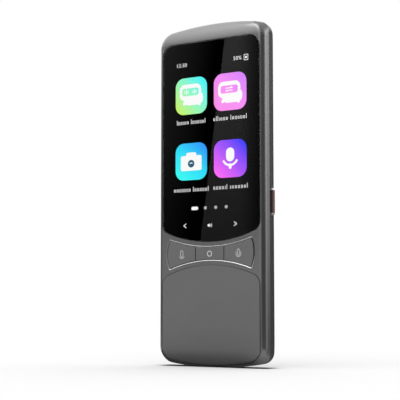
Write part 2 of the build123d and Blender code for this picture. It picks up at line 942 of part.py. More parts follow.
def key_flex():
    """Flat cable from the key board, through the midframe, up to the main board."""
    foot = key_board_y + key_board_thickness / 2
    route = [
        (foot, key_flex_foot_z),
        (foot, key_flex_z),
        (midframe_back_y, key_flex_z),
        (midframe_back_y, board_foot + strip_overlap),
    ]
    return ribbon(route, -strip_x, strip_width)


def link_flex():
    """Flat cable from the socket's board, behind the midframe, up to the main board."""
    route = [
        (midframe_back_y, midframe_foot),
        (midframe_back_y, board_foot + strip_overlap),
    ]
    tail = block(
        around(strip_x, strip_width),
        (usb_board_back_y, usb_board_back_y + film),
        (usb_board_top - strip_overlap, midframe_foot + film),
    )
    return ribbon(route, strip_x, strip_width) + tail


def nodes():
    """Every piece as (node name, shape)."""
    return [
        ("front_frame", front_frame()),
        ("rear_housing", rear_housing()),
        ("lower_panel", lower_panel()),
        ("cover_glass", cover_glass()),
        ("glass_gasket", glass_gasket()),
        ("display_panel", display_layer(0, glass_back_y, display_back_y)),
        ("display_backlight", display_layer(light_inset, light_y, light_back_y)),
        ("midframe", midframe()),
        ("midframe_screws", screws(midframe_screws_at, midframe_back_y, midframe_thickness)),
        ("case_screws", case_screws()),
        ("key_trim", key_trim()),
        *keys(),
        ("key_seal", key_seal()),
        ("dome_switches", dome_switches()),
        ("key_board", key_board()),
        ("side_button", side_button()),
        ("side_switch", side_switch()),
        ("battery", battery()),
        ("battery_tape", battery_tape()),
        ("battery_foam", battery_foam()),
        ("battery_lead", battery_lead()),
        ("main_board", main_board()),
        ("board_screws", screws(board_screws_at, board_back_y, board_thickness)),
        ("shield_cans", shield_cans()),
        ("chips", chips()),
        ("antenna", antenna()),
        ("camera_module", camera_module()),
        ("camera_window", camera_window()),
        ("camera_ring", camera_ring()),
        ("flash_lens", flash_lens()),
        ("usb_shell", usb_shell()),
        ("usb_tongue", usb_tongue()),
        ("usb_board", usb_board()),
        ("usb_screws", screws(usb_screws_at, usb_board_back_y, board_thickness)),
        ("speaker", speaker()),
        ("speaker_mesh", speaker_mesh()),
        ("microphones", microphones()),
        ("mic_boots", mic_boots()),
        ("display_flex", display_flex()),
        ("key_flex", key_flex()),
        ("link_flex", link_flex()),
    ]


os.makedirs("parts", exist_ok=True)
for node, shape in nodes():
    export_step(shape, f"parts/{node}.step")
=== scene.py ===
import math

import bmesh
import bpy
from mathutils import Matrix, Vector
from mathutils.bvhtree import BVHTree


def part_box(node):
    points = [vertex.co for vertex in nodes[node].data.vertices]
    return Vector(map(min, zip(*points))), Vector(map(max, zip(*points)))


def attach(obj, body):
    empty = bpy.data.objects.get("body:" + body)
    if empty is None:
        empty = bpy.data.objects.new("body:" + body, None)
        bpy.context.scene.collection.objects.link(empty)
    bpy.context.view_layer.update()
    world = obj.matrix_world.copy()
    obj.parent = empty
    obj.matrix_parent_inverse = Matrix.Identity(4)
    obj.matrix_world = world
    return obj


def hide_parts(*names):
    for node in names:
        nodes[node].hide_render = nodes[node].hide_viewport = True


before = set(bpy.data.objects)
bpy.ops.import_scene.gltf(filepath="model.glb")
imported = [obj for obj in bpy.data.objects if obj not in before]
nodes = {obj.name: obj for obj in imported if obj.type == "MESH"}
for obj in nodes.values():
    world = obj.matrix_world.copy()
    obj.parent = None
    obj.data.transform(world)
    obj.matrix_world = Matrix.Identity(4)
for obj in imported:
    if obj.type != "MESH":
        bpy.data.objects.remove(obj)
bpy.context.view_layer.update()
scene = bpy.context.scene
mm = 0.001
print("frame loaded:", len(nodes), "nodes")


def tone(red, green=None, blue=None):
    # screen values 0-255 to the linear values that the shaders take
    values = (red, red if green is None else green, red if blue is None else blue)
    linear = [v / 255 / 12.92 if v <= 10 else ((v / 255 + 0.055) / 1.055) ** 2.4 for v in values]
    return (*linear, 1.0)


def newMaterial(name, colour, roughness=0.5, metallic=0.0):
    material = bpy.data.materials.new(name)
    material.use_nodes = True
    shader = material.node_tree.nodes["Principled BSDF"]
    shader.inputs["Base Color"].default_value = colour
    shader.inputs["Roughness"].default_value = roughness
    shader.inputs["Metallic"].default_value = metallic
    return material


def addNode(material, kind, **settings):
    node = material.node_tree.nodes.new(kind)
    for key, value in settings.items():
        setattr(node, key, value)
    return node


def wire(material, output, target):
    material.node_tree.links.new(output, target)


def principled(material):
    return material.node_tree.nodes["Principled BSDF"]


def combine(material, operation, *values):
    # one Math node, whose values are numbers or the outputs of other nodes
    node = addNode(material, "ShaderNodeMath", operation=operation)
    for socket, value in zip(node.inputs, values):
        if isinstance(value, (int, float)):
            socket.default_value = value
        else:
            wire(material, value, socket)
    return node.outputs["Value"]


def ramp(material, value, low, high, start=0.0, end=1.0, smooth=False):
    # start below low, end above high
    node = addNode(material, "ShaderNodeMapRange")
    if smooth:
        node.interpolation_type = "SMOOTHSTEP"
    for socket, number in zip(("From Min", "From Max", "To Min", "To Max"), (low, high, start, end)):
        node.inputs[socket].default_value = number
    wire(material, value, node.inputs["Value"])
    return node.outputs["Result"]


def mixColours(material, share, low, high):
    mix = addNode(material, "ShaderNodeMix", data_type="RGBA")
    mix.inputs["A"].default_value = low
    mix.inputs["B"].default_value = high
    wire(material, share, mix.inputs["Factor"])
    return mix.outputs["Result"]


def objectXYZ(material):
    coords = addNode(material, "ShaderNodeTexCoord")
    split = addNode(material, "ShaderNodeSeparateXYZ")
    wire(material, coords.outputs["Object"], split.inputs["Vector"])
    return split.outputs["X"], split.outputs["Y"], split.outputs["Z"]


def fromMiddle(material, x, y):
    # distance from the upright line through the origin
    squares = [combine(material, "MULTIPLY", value, value) for value in (x, y)]
    return combine(material, "SQRT", combine(material, "ADD", *squares))


def noise(material, scale, detail):
    # noise in object space, scale in features per metre
    coords = addNode(material, "ShaderNodeTexCoord")
    texture = addNode(material, "ShaderNodeTexNoise")
    texture.inputs["Scale"].default_value = scale
    texture.inputs["Detail"].default_value = detail
    wire(material, coords.outputs["Object"], texture.inputs["Vector"])
    return texture.outputs["Fac"]


surface = {
    "grainDetail": 3.0, "grainStrength": 0.6, "mottleDetail": 4.0,
    "wearDetail": 5.0, "wearSpan": (0.3, 0.7),
}


def addGrain(material, scale, depth):
    # fine surface relief
    bump = addNode(material, "ShaderNodeBump")
    bump.inputs["Distance"].default_value = depth
    bump.inputs["Strength"].default_value = surface["grainStrength"]
    wire(material, noise(material, scale, surface["grainDetail"]), bump.inputs["Height"])
    wire(material, bump.outputs["Normal"], principled(material).inputs["Normal"])


def addMottle(material, scale, low, high):
    # broad, slight colour changes
    mixed = mixColours(material, noise(material, scale, surface["mottleDetail"]), low, high)
    wire(material, mixed, principled(material).inputs["Base Color"])


def addWear(material, scale, low, high):
    # roughness that varies a little, as where a hand has been
    patches = noise(material, scale, surface["wearDetail"])
    rough = ramp(material, patches, *surface["wearSpan"], low, high)
    wire(material, rough, principled(material).inputs["Roughness"])


# mottle, wear and grain are features per metre, depth is the height of the grain in metres
bodyFinish = {
    "low": tone(103), "high": tone(108), "metallic": 0.8, "rough": (0.23, 0.27),
    "mottle": 60, "wear": 35, "grain": 9000, "depth": 0.000004,
}
panelFinish = {**bodyFinish, "rough": (0.36, 0.42)}


def satinMetal(name, finish):
    material = newMaterial(name, finish["high"], metallic=finish["metallic"])
    addMottle(material, finish["mottle"], finish["low"], finish["high"])
    addWear(material, finish["wear"], *finish["rough"])
    addGrain(material, finish["grain"], finish["depth"])
    return material


def plainMaterial(name, colour, roughness, metallic, grain, depth):
    material = newMaterial(name, colour, roughness, metallic)
    addGrain(material, grain, depth)
    return material


bodyMetal = satinMetal("bodyMetal", bodyFinish)
panelMetal = satinMetal("panelMetal", panelFinish)
keyMetal = satinMetal("keyMetal", panelFinish)
chrome = plainMaterial("chrome", tone(225), 0.12, 1.0, 4000, 0.000001)
steel = plainMaterial("steel", tone(176), 0.3, 1.0, 5000, 0.000002)
springSteel = plainMaterial("springSteel", tone(190), 0.24, 1.0, 5000, 0.000002)
castMetal = plainMaterial("castMetal", tone(150), 0.42, 1.0, 2600, 0.00001)
blackRubber = plainMaterial("blackRubber", tone(24), 0.75, 0.0, 3000, 0.00002)
darkPlastic = plainMaterial("darkPlastic", tone(34), 0.5, 0.0, 3500, 0.00001)
whitePlastic = plainMaterial("whitePlastic", tone(222), 0.5, 0.0, 3500, 0.000006)
foilSilver = plainMaterial("foilSilver", tone(168), 0.36, 0.9, 900, 0.00004)
flexAmber = plainMaterial("flexAmber", tone(150, 84, 26), 0.4, 0.0, 2500, 0.000006)


def glassMaterial(name, tint, roughness=0.0):
    material = newMaterial(name, tint, roughness)
    shader = principled(material)
    shader.inputs["Transmission Weight"].default_value = 1.0
    shader.inputs["IOR"].default_value = 1.5
    return material


coverGlass = glassMaterial("coverGlass", tone(252))
lensGlass = glassMaterial("lensGlass", tone(244, 248, 252))
flashPlastic = glassMaterial("flashPlastic", tone(250, 248, 236), 0.25)


boardLook = {
    "mask": tone(20, 66, 44), "rough": 0.35, "patches": 420, "track": 0.012,
    "dark": tone(16, 58, 38), "light": tone(22, 72, 48), "copper": tone(70, 118, 66),
    "grain": 2500, "depth": 0.00001,
}


def boardMaterial():
    # solder mask over copper tracks
    material = newMaterial("boardGreen", boardLook["mask"], boardLook["rough"])
    tracks = addNode(material, "ShaderNodeTexBrick")
    tracks.inputs["Scale"].default_value = boardLook["patches"]
    tracks.inputs["Mortar Size"].default_value = boardLook["track"]
    tracks.inputs["Color1"].default_value = boardLook["dark"]
    tracks.inputs["Color2"].default_value = boardLook["light"]
    tracks.inputs["Mortar"].default_value = boardLook["copper"]
    coords = addNode(material, "ShaderNodeTexCoord")
    turn = addNode(material, "ShaderNodeMapping")
    turn.inputs["Rotation"].default_value = (math.radians(90), 0, 0)
    wire(material, coords.outputs["Object"], turn.inputs["Vector"])
    wire(material, turn.outputs["Vector"], tracks.inputs["Vector"])
    wire(material, tracks.outputs["Color"], principled(material).inputs["Base Color"])
    addGrain(material, boardLook["grain"], boardLook["depth"])
    return material


meshLook = {"colour": tone(26), "rough": 0.6, "metallic": 0.6, "wires": 1300, "depth": 0.00008}


def meshMaterial():
    # woven dust mesh
    material = newMaterial("dustMesh", meshLook["colour"], meshLook["rough"], meshLook["metallic"])
    waves = []
    for direction in ("X", "Z"):
        wave = addNode(material, "ShaderNodeTexWave", bands_direction=direction)
        wave.inputs["Scale"].default_value = meshLook["wires"]
        coords = addNode(material, "ShaderNodeTexCoord")
        wire(material, coords.outputs["Object"], wave.inputs["Vector"])
        waves.append(wave.outputs["Fac"])
    bump = addNode(material, "ShaderNodeBump")
    bump.inputs["Distance"].default_value = meshLook["depth"]
    wire(material, combine(material, "MAXIMUM", *waves), bump.inputs["Height"])
    wire(material, bump.outputs["Normal"], principled(material).inputs["Normal"])
    return material


# polished: half the length between the two bright ends, in millimetres
buttonLook = {
    "body": tone(114, 90, 88), "end": tone(250, 246, 244), "polished": 4.6,
    "rough": 0.34, "metallic": 0.8, "grain": 6000, "depth": 0.000002,
}


def buttonMaterial():
    # dark red anodising, with the cut ends polished bright
    material = newMaterial("redMetal", buttonLook["body"], buttonLook["rough"], buttonLook["metallic"])
    low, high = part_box("side_button")
    x, y, z = objectXYZ(material)
    along = combine(material, "ABSOLUTE", combine(material, "SUBTRACT", z, (low.z + high.z) / 2))
    past = combine(material, "GREATER_THAN", along, buttonLook["polished"] * mm)
    colour = mixColours(material, past, buttonLook["body"], buttonLook["end"])
    wire(material, colour, principled(material).inputs["Base Color"])
    addGrain(material, buttonLook["grain"], buttonLook["depth"])
    return material


boardGreen = boardMaterial()
dustMesh = meshMaterial()
redMetal = buttonMaterial()
inkBlack = newMaterial("inkBlack", tone(2), 0.9)  # printed on the back of the glass, so it has no gloss
principled(inkBlack).inputs["Specular IOR Level"].default_value = 0.0


def dress(material, *names):
    for name in names:
        slots = nodes[name].data.materials
        slots.clear()
        slots.append(material)


dress(bodyMetal, "front_frame", "rear_housing")
dress(panelMetal, "lower_panel")
dress(keyMetal, "left_key", "centre_key", "right_key")
dress(coverGlass, "cover_glass")
dress(redMetal, "side_button")
dress(steel, "case_screws", "midframe_screws", "board_screws", "usb_screws", "usb_shell")
dress(springSteel, "shield_cans", "dome_switches", "camera_ring", "microphones")
dress(castMetal, "midframe")
dress(blackRubber, "glass_gasket", "key_seal", "mic_boots", "battery_foam")
dress(darkPlastic, "side_switch", "chips", "camera_module", "usb_tongue", "speaker")
dress(inkBlack, "display_panel")
dress(whitePlastic, "display_backlight", "battery_tape")
dress(foilSilver, "battery")
dress(flexAmber, "battery_lead", "antenna", "display_flex", "key_flex", "link_flex")
dress(boardGreen, "main_board", "key_board", "usb_board")
dress(lensGlass, "camera_window")
dress(flashPlastic, "flash_lens")
dress(dustMesh, "speaker_mesh")
print("materials done:", len(bpy.data.materials))


# Flat drawings in millimetres, which standUp() makes into pieces
roundEnd = 0.46  # how far a line's end is rounded, as a share of its thickness


def flatRounded(bm, x, y, wide, tall, corner, steps=5):
    corners = bmesh.ops.create_grid(bm, x_segments=1, y_segments=1, size=0.5)["verts"]
    bmesh.ops.scale(bm, vec=(wide, tall, 1), verts=corners)
    bmesh.ops.translate(bm, vec=(x, y, 0), verts=corners)
    if corner:
        bmesh.ops.bevel(bm, geom=corners, offset=corner, segments=steps, profile=0.5,
                        affect="VERTICES", material=-1)


def flatFrame(bm, x, y, wide, tall, corner, stroke):
    # a rounded outline, its line inside the given width and height
    before = set(bm.faces)
    flatRounded(bm, x, y, wide, tall, corner)
    inner = [face for face in bm.faces if face not in before]
    bmesh.ops.inset_region(bm, faces=inner, thickness=stroke, use_even_offset=True, use_boundary=True)
    bmesh.ops.delete(bm, geom=inner, context="FACES_ONLY")


def flatDisc(bm, x, y, radius, steps=28):
    bmesh.ops.create_circle(bm, cap_ends=True, segments=steps, radius=radius,
                            matrix=Matrix.Translation((x, y, 0)))


def flatArc(bm, x, y, radius, stroke, start, sweep, steps=16):
    # an edge as long as the stroke, spun about the centre
    angle = math.radians(start)
    along = Vector((math.cos(angle), math.sin(angle), 0))
    centre = Vector((x, y, 0))
    ends = [bm.verts.new(centre + along * (radius + side * stroke / 2)) for side in (-1, 1)]
    edge = bm.edges.new(ends)
    bmesh.ops.spin(bm, geom=[*ends, edge], cent=centre, axis=(0, 0, 1), dvec=(0, 0, 0),
                   angle=math.radians(sweep), steps=steps, use_merge=abs(sweep) == 360)


def flatStroke(bm, start, end, thick):
    # a straight line with round ends
    start, end = Vector((*start, 0)), Vector((*end, 0))
    run = end - start
    corners = bmesh.ops.create_grid(bm, x_segments=1, y_segments=1, size=0.5)["verts"]
    bmesh.ops.scale(bm, vec=(run.length + thick, thick, 1), verts=corners)
    turn = Matrix.Rotation(math.atan2(run.y, run.x), 3, "Z")
    bmesh.ops.rotate(bm, cent=(0, 0, 0), matrix=turn, verts=corners)
    bmesh.ops.translate(bm, vec=(start + end) / 2, verts=corners)
    bmesh.ops.bevel(bm, geom=corners, offset=thick * roundEnd, segments=3, profile=0.5,
                    affect="VERTICES", material=-1)


drawnTogether = 0.0005  # points of a drawing closer than this are one, in millimetres
meshTogether = 0.000001  # and points of a copied mesh, in metres


def addPiece(name, bm, material, body="housing"):
    mesh = bpy.data.meshes.new(name)
    bm.to_mesh(mesh)
    bm.free()
    mesh.materials.append(material)
    piece = bpy.data.objects.new(name, mesh)
    scene.collection.objects.link(piece)
    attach(piece, body)
    return piece


def standUp(name, bm, material, place, thick, body="housing"):
    # gives the drawing its thickness and stands it up facing the front, its back at place
    bmesh.ops.remove_doubles(bm, verts=bm.verts, dist=drawnTogether)
    flats = bm.faces[:]
    made = bmesh.ops.extrude_face_region(bm, geom=flats, use_keep_orig=True)
    lifted = [item for item in made["geom"] if isinstance(item, bmesh.types.BMVert)]
    bmesh.ops.translate(bm, vec=(0, 0, thick), verts=lifted)
    upright = Matrix.Translation(Vector(place) * mm) @ Matrix.Rotation(math.radians(90), 4, "X")
    bmesh.ops.transform(bm, matrix=upright @ Matrix.Scale(mm, 4), verts=bm.verts)
    bmesh.ops.recalc_face_normals(bm, faces=bm.faces)
    addPiece(name, bm, material, body)


glassLow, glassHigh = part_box("cover_glass")
backY = glassHigh.y / mm
picture = {
    "sheet": 0.01,  # from the back of the glass to the ink sheet bonded to it
    "layer": 0.03,  # from each layer of the picture to the next
    "thin": 0.02,  # thickness of each layer
    "row": (111.9, 84.3),  # heights of the two rows of tiles
    "column": 9.42,  # from the middle of the picture to each column of tiles
    "shift": -0.13,  # x of the middle of the picture
    "tile": 15.5,
    "corner": 4.0,
    "ink": (0.994, 0.997),  # width and height of the ink sheet as shares of the glass
}


def lay(name, drawing, material, level, x, z):
    # one drawing on one layer of the display's picture
    y = backY - picture["sheet"] - level * picture["layer"]
    standUp(name, drawing, material, (x, y, z), picture["thin"])


def glow(name, colour):
    # a lit colour of the display
    material = newMaterial(name, (0, 0, 0, 1))
    shader = principled(material)
    shader.inputs["Emission Color"].default_value = colour
    shader.inputs["Emission Strength"].default_value = 1.0
    return material


def gradientGlow(name, place, colours, angle, span):
    # a lit colour that runs through three colours along a direction, in degrees from +x to +z
    material = glow(name, colours[0])
    coords = addNode(material, "ShaderNodeTexCoord")
    centre = addNode(material, "ShaderNodeMapping")
    centre.inputs["Location"].default_value = (-place[0] * mm, 0, -place[1] * mm)
    along = addNode(material, "ShaderNodeVectorMath", operation="DOT_PRODUCT")
    run = math.radians(angle)
    along.inputs[1].default_value = (math.cos(run), 0, math.sin(run))
    blend = addNode(material, "ShaderNodeValToRGB")
    blend.color_ramp.elements[0].color = colours[0]
    blend.color_ramp.elements[1].color = colours[2]
    blend.color_ramp.elements.new(0.5).color = colours[1]
    wire(material, coords.outputs["Object"], centre.inputs["Vector"])
    wire(material, centre.outputs["Vector"], along.inputs[0])
    spread = ramp(material, along.outputs["Value"], -span / 2 * mm, span / 2 * mm)
    wire(material, spread, blend.inputs["Fac"])
    wire(material, blend.outputs["Color"], principled(material).inputs["Emission Color"])
    return material


whiteGlow = glow("whiteGlow", tone(252))
markGlow = glow("markGlow", tone(178))
lensGlow = glow("lensGlow", tone(8, 84, 116))


def inkSheet():
    # black sheet behind the whole glass: the unlit display and its printed border
    bm = bmesh.new()
    bm.from_mesh(nodes["cover_glass"].data)
    bmesh.ops.remove_doubles(bm, verts=bm.verts, dist=meshTogether)
    rest = [face for face in bm.faces if face.normal.y < 0.9]
    bmesh.ops.delete(bm, geom=rest, context="FACES")
    made = bmesh.ops.extrude_face_region(bm, geom=bm.faces[:], use_keep_orig=True)
    lifted = [item for item in made["geom"] if isinstance(item, bmesh.types.BMVert)]
    bmesh.ops.translate(bm, vec=(0, -picture["thin"] * mm, 0), verts=lifted)
    middle = (glassLow + glassHigh) / 2
    bmesh.ops.scale(bm, vec=(picture["ink"][0], 1, picture["ink"][1]), verts=bm.verts,
                    space=Matrix.Translation((-middle.x, 0, -middle.z)))
    bmesh.ops.translate(bm, vec=(0, -picture["sheet"] * mm, 0), verts=bm.verts)
    bmesh.ops.recalc_face_normals(bm, faces=bm.faces)
    addPiece("inkSheet", bm, inkBlack)


# at: the column, -1 left or 1 right, and the row, 0 upper or 1 lower
tiles = {
    "voiceTile": {
        "at": (-1, 0), "angle": 40, "span": 17,
        "colours": (tone(196, 246, 104), tone(142, 250, 196), tone(66, 248, 250)),
    },
    "offlineTile": {
        "at": (1, 0), "angle": 45, "span": 18,
        "colours": (tone(252, 140, 236), tone(250, 140, 248), tone(214, 126, 252)),
    },
    "cameraTile": {
        "at": (-1, 1), "angle": 50, "span": 18,
        "colours": (tone(48, 252, 244), tone(24, 222, 250), tone(30, 146, 252)),
    },
    "recordTile": {
        "at": (1, 1), "angle": 45, "span": 17,
        "colours": (tone(250, 96, 248), tone(166, 72, 250), tone(48, 44, 252)),
    },
}
tileGlow = {}  # the material of each tile, which the windows in its sign share


def tilePlace(at):
    side, row = at
    return (side * picture["column"] + picture["shift"], picture["row"][row])


def tile(name, look):
    x, z = tilePlace(look["at"])
    tileGlow[name] = gradientGlow(name, (x, z), look["colours"], look["angle"], look["span"])
    bm = bmesh.new()
    flatRounded(bm, 0, 0, picture["tile"], picture["tile"], picture["corner"], 10)
    lay(name, bm, tileGlow[name], 1, x, z)


# In the signs a rounded block is its middle, width, height and corner, and a line is its ends and thickness
speech = {
    "bubbles": ((-0.4, 0.9, 10.6, 6.8, 2.4), (1.1, -1.9, 9.4, 5.4, 2.2)),
    "tails": (((-2.6, -2.2), (-3.5, -3.9), 1.3), ((3.4, -3.8), (4.1, -4.6), 1.0)),
    "window": (-0.4, 1.0, 8.2, 3.2, 1.0),
    "mark": 0.4,
}
# x and half height of each sound bar
soundBars = ((-3.2, 0.3), (-2.4, 0.9), (-1.6, 0.5), (0.8, 0.3), (1.6, 0.9), (2.4, 0.5))
soundLevel = 1.0  # height of the bars' middle
swapArrows = (((-1.9, 1.5), (1.1, 1.5)), ((1.1, 1.5), (0.5, 2.0)),
              ((-1.9, 0.5), (1.1, 0.5)), ((-1.9, 0.5), (-1.3, 0.0)))


def speechSign(name, tileName, lift, marks):
    # two overlapping speech bubbles, with a window that holds a few marks
    x, z = tilePlace(tiles[tileName]["at"])
    bubbles = bmesh.new()
    for block in speech["bubbles"]:
        flatRounded(bubbles, *block)
    for tail in speech["tails"]:
        flatStroke(bubbles, *tail)
    lay(name + "Bubbles", bubbles, whiteGlow, 2, x, z + lift)
    window = bmesh.new()
    flatRounded(window, *speech["window"])
    lay(name + "Window", window, tileGlow[tileName], 3, x, z + lift)
    drawing = bmesh.new()
    for start, end in marks:
        flatStroke(drawing, start, end, speech["mark"])
    lay(name + "Marks", drawing, whiteGlow, 4, x, z + lift)


# arcs: middle, radius, thickness, start and sweep in degrees
cameraLook = {
    "body": (0, -0.65, 10.2, 6.3, 0.7), "top": (0, 2.6, 5.0, 2.4, 0.8),
    "lens": (0, -0.9, 1.6), "glint": (0, -1.35, 0.75, 0.34, 35, 110),
}


def cameraSign():
    x, z = tilePlace(tiles["cameraTile"]["at"])
    body = bmesh.new()
    flatRounded(body, *cameraLook["body"])
    flatRounded(body, *cameraLook["top"])
    lay("cameraSign", body, whiteGlow, 2, x, z)
    lens = bmesh.new()
    flatDisc(lens, *cameraLook["lens"])
    lay("cameraSignLens", lens, lensGlow, 3, x, z)
    glint = bmesh.new()
    flatArc(glint, *cameraLook["glint"])
    lay("cameraSignGlint", glint, whiteGlow, 4, x, z)


microphoneLook = {
    "head": (0, 1.65, 3.9, 5.7, 1.9), "cradle": (0, 0.9, 3.6, 0.9, 205, 130, 20),
    "stem": ((0, -2.7), (0, -3.6), 1.4),
}


def microphoneSign():
    x, z = tilePlace(tiles["recordTile"]["at"])
    bm = bmesh.new()
    flatRounded(bm, *microphoneLook["head"])
    flatArc(bm, *microphoneLook["cradle"])
    flatStroke(bm, *microphoneLook["stem"])
    lay("microphoneSign", bm, whiteGlow, 2, x, z)


# Each label is two runs of plain marks in place of words: r a ring, b a bar, t a tall bar, p a pair of bars
labelLook = {"height": 1.2, "tall": 1.85, "thick": 0.22, "ringCorner": 0.45}
labelWidths = {"r": 0.88, "b": 0.22, "t": 0.22, "p": 0.78, " ": 0.4}
labels = {
    "voiceLabel": {"from": -16.5, "to": -2.5, "z": 101.0, "marks": "tprbrr trprprt"},
    "offlineLabel": {"from": 1.4, "to": 17.2, "z": 101.2, "marks": "rttbrpr trprprt"},
    "cameraLabel": {"from": -17.9, "to": -1.0, "z": 72.7, "marks": "rrpprbr trprprt"},
    "recordLabel": {"from": 1.4, "to": 17.5, "z": 72.9, "marks": "rpprbt brrrprt"},
}


def labelMark(bm, kind, x):
    height = labelLook["height"]
    thick = labelLook["thick"]
    wide = labelWidths[kind]
    if kind == "r":
        flatFrame(bm, x, height / 2, wide, height, wide * labelLook["ringCorner"], thick)
    if kind == "b":
        flatStroke(bm, (x, 0), (x, height), thick)
    if kind == "t":
        flatStroke(bm, (x, 0), (x, labelLook["tall"]), thick)
    if kind == "p":
        for side in (-1, 1):
            stroke = x + side * (wide - thick) / 2
            flatStroke(bm, (stroke, 0), (stroke, height), thick)


def label(name, look):
    # the marks are spread evenly between the two ends of the label
    bm = bmesh.new()
    taken = sum(labelWidths[kind] for kind in look["marks"])
    space = (look["to"] - look["from"] - taken) / (len(look["marks"]) - 1)
    x = look["from"] + picture["shift"]
    for kind in look["marks"]:
        labelMark(bm, kind, x + labelWidths[kind] / 2)
        x += labelWidths[kind] + space
    lay(name, bm, whiteGlow, 1, 0, look["z"] - labelLook["tall"] / 2)


digitLook = {"size": 2.24, "spacing": 1.08, "steps": 3}


def digits(name, words, x, z):
    curve = bpy.data.curves.new(name, "FONT")
    curve.body = words
    curve.size = digitLook["size"]
    curve.resolution_u = digitLook["steps"]
    curve.space_character = digitLook["spacing"]
    text = bpy.data.objects.new(name + "Curve", curve)
    scene.collection.objects.link(text)
    bpy.context.view_layer.update()
    depsgraph = bpy.context.evaluated_depsgraph_get()
    mesh = bpy.data.meshes.new_from_object(text.evaluated_get(depsgraph))
    bpy.data.objects.remove(text)
    bm = bmesh.new()
    bm.from_mesh(mesh)
    lay(name, bm, whiteGlow, 1, x + picture["shift"], z)


status = {"clock": (-16.9, 124.5), "charge": (11.0, 124.6), "cell": (17.0, 125.3)}
cellLook = {"case": (2.0, 2.5, 0.3, 0.22), "core": (0.8, 0.9, 0.1)}


def statusRow():
    # the time, the charge and a small battery cell
    digits("clockDigits", "12:30", *status["clock"])
    digits("chargeDigits", "50%", *status["charge"])
    bm = bmesh.new()
    flatFrame(bm, *status["cell"], *cellLook["case"])
    flatRounded(bm, *status["cell"], *cellLook["core"])
    lay("chargeSign", bm, whiteGlow, 1, picture["shift"], 0)


page = {"z": 64.7, "pillX": -7.65, "pill": (3.3, 1.4, 0.65), "dots": (-2.5, 2.5, 7.5), "dot": 0.68}


def pageMarks():
    # a pill for the page that shows and dots for the others
    pill = bmesh.new()
    flatRounded(pill, page["pillX"], page["z"], *page["pill"])
    lay("pagePill", pill, whiteGlow, 1, picture["shift"], 0)
    dots = bmesh.new()
    for x in page["dots"]:
        flatDisc(dots, x, page["z"], page["dot"])
    lay("pageDots", dots, markGlow, 1, picture["shift"], 0)


chevron = {"z": 57.65, "half": (0.6, 0.8), "thick": 0.26, "left": -12.5, "right": 11.8}
# the loudspeaker: its box, its cone as a line, and its waves as arcs round the cone
loudspeaker = {
    "box": (-1.0, 57.45, 0.8, 0.8, 0.1), "cone": ((-0.6, 56.95), (-0.6, 57.95), 0.4),
    "middle": (-0.6, 57.45), "waves": (0.7, 1.2), "wave": (0.2, -38, 76, 8),
}


def touchMarks():
    bm = bmesh.new()
    z = chevron["z"]
    out, up = chevron["half"]
    for x, way in ((chevron["left"], 1), (chevron["right"], -1)):
        flatStroke(bm, (x + way * out, z + up), (x - way * out, z), chevron["thick"])
        flatStroke(bm, (x - way * out, z), (x + way * out, z - up), chevron["thick"])
    flatRounded(bm, *loudspeaker["box"])
    flatStroke(bm, *loudspeaker["cone"])
    for radius in loudspeaker["waves"]:
        flatArc(bm, *loudspeaker["middle"], radius, *loudspeaker["wave"])
    lay("touchMarks", bm, whiteGlow, 1, picture["shift"], 0)


inkSheet()
for name, look in tiles.items():
    tile(name, look)
soundMarks = [((x, soundLevel - half), (x, soundLevel + half)) for x, half in soundBars]
speechSign("voiceSign", "voiceTile", 0.7, soundMarks)
speechSign("offlineSign", "offlineTile", 0.0, swapArrows)
cameraSign()
microphoneSign()
for name, look in labels.items():
    label(name, look)
statusRow()
pageMarks()
touchMarks()
print("display picture done")


keyPrint = {
    "thick": 0.02, "sunk": 0.016, "stroke": 0.26, "z": 45.8,
    "left": -13.5, "centre": 0, "right": 13.6,
}
keyPaint = plainMaterial("keyPaint", tone(214), 0.45, 0.0, 3000, 0.000002)


def printKey(drawing, side):
    # paints a drawing on one of the three keys, which carries it along
    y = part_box("centre_key")[0].y / mm + keyPrint["sunk"]
    place = (keyPrint[side], y, keyPrint["z"])
    standUp(side + "KeySign", drawing, keyPaint, place, keyPrint["thick"], side + "_key")


# heads are given without their line's thickness, cradle and cup as middle, radius, start and sweep
leftSign = {"head": (0, 0.2, 1.4, 2.9, 0.65), "cradle": (0, -0.3, 1.35), "span": (210, 120, 12)}
centreSign = {"ring": (0, 0, 1.02, 0.38, 0, 360, 36)}
rightSign = {"head": (0, 0.3, 1.15, 2.8, 0.54), "cup": (0, -0.4, 1.1), "span": (180, 180, 16), "rim": 0.5}


def keySigns():
    # a microphone, a ring, and a microphone held in a cup
    stroke = keyPrint["stroke"]
    left = bmesh.new()
    flatFrame(left, *leftSign["head"], stroke)
    flatArc(left, *leftSign["cradle"], stroke, *leftSign["span"])
    printKey(left, "left")
    centre = bmesh.new()
    flatArc(centre, *centreSign["ring"])
    printKey(centre, "centre")
    right = bmesh.new()
    flatFrame(right, *rightSign["head"], stroke)
    flatArc(right, *rightSign["cup"], stroke, *rightSign["span"])
    x, foot, radius = rightSign["cup"]
    for side in (x - radius, x + radius):
        flatStroke(right, (side, foot), (side, rightSign["rim"]), stroke)
    printKey(right, "right")


keySigns()
print("key signs done")


# slope: the front's fall across the line at its foot and at its top. side: what its two ends fall besides,
# which comes in as the line turns upright and between two heights, all as shares of the whole. Points in
# front of y front move back, and none past y deepest. crease: the angle that stays sharp, in radians.
keyLine = {
    "slope": (0.15, 0.95), "side": 1.0, "turned": (0.6, 0.9),
    "leftRaised": (-0.1, 0.06), "rightRaised": (0.34, 0.48),
    "front": -5.2, "deepest": -4.7, "upright": 0.05, "crease": 0.5,
}


def share(value, start, end):
    return min(max((value - start) / (end - start), 0), 1)


